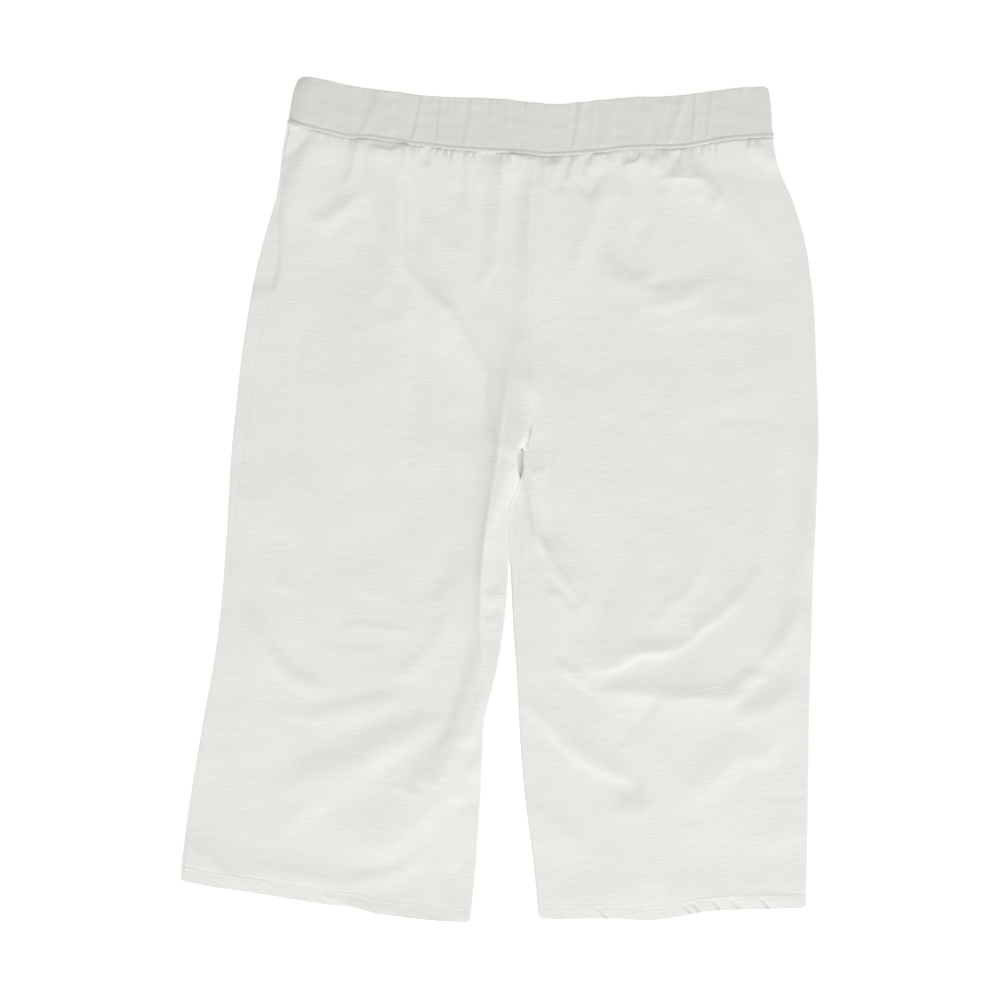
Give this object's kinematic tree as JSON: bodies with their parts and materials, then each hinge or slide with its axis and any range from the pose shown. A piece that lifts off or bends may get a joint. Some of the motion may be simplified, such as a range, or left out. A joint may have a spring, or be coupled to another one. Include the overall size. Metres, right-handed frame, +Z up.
{
  "type": "capri pants",
  "caption": "Wide-legged pull-on capri pants in off-white slub knit with an elastic waistband and in-seam pocket, laid flat with the front up.",
  "frame": {"origin": "on the surface that the garment lies on, under the middle of its outline", "axes": "+Y from the hems to the waist, +X to the right of someone looking down on the front, +Z up from the surface"},
  "size_m": [0.6383, 0.8451, 0.011],
  "materials": {
    "slub_knit": "off-white cotton slub jersey, matt, with fine streaks across the cloth",
    "waistband_knit": "the same jersey stretched over wide elastic, lightly puckered",
    "topstitched_seam": "seam allowances held down by two rows of stitching",
    "pocket_knit": "lighter plain jersey in the same off-white"
  },
  "bodies": {
    "root": {"front_left": "slub_knit", "front_right": "slub_knit", "back_left": "slub_knit", "back_right": "slub_knit", "waistband_front": "waistband_knit", "waistband_back": "waistband_knit", "waist_seam_front": "topstitched_seam", "waist_seam_back": "topstitched_seam", "pocket_left": "pocket_knit"}
  },
  "joints": []
}
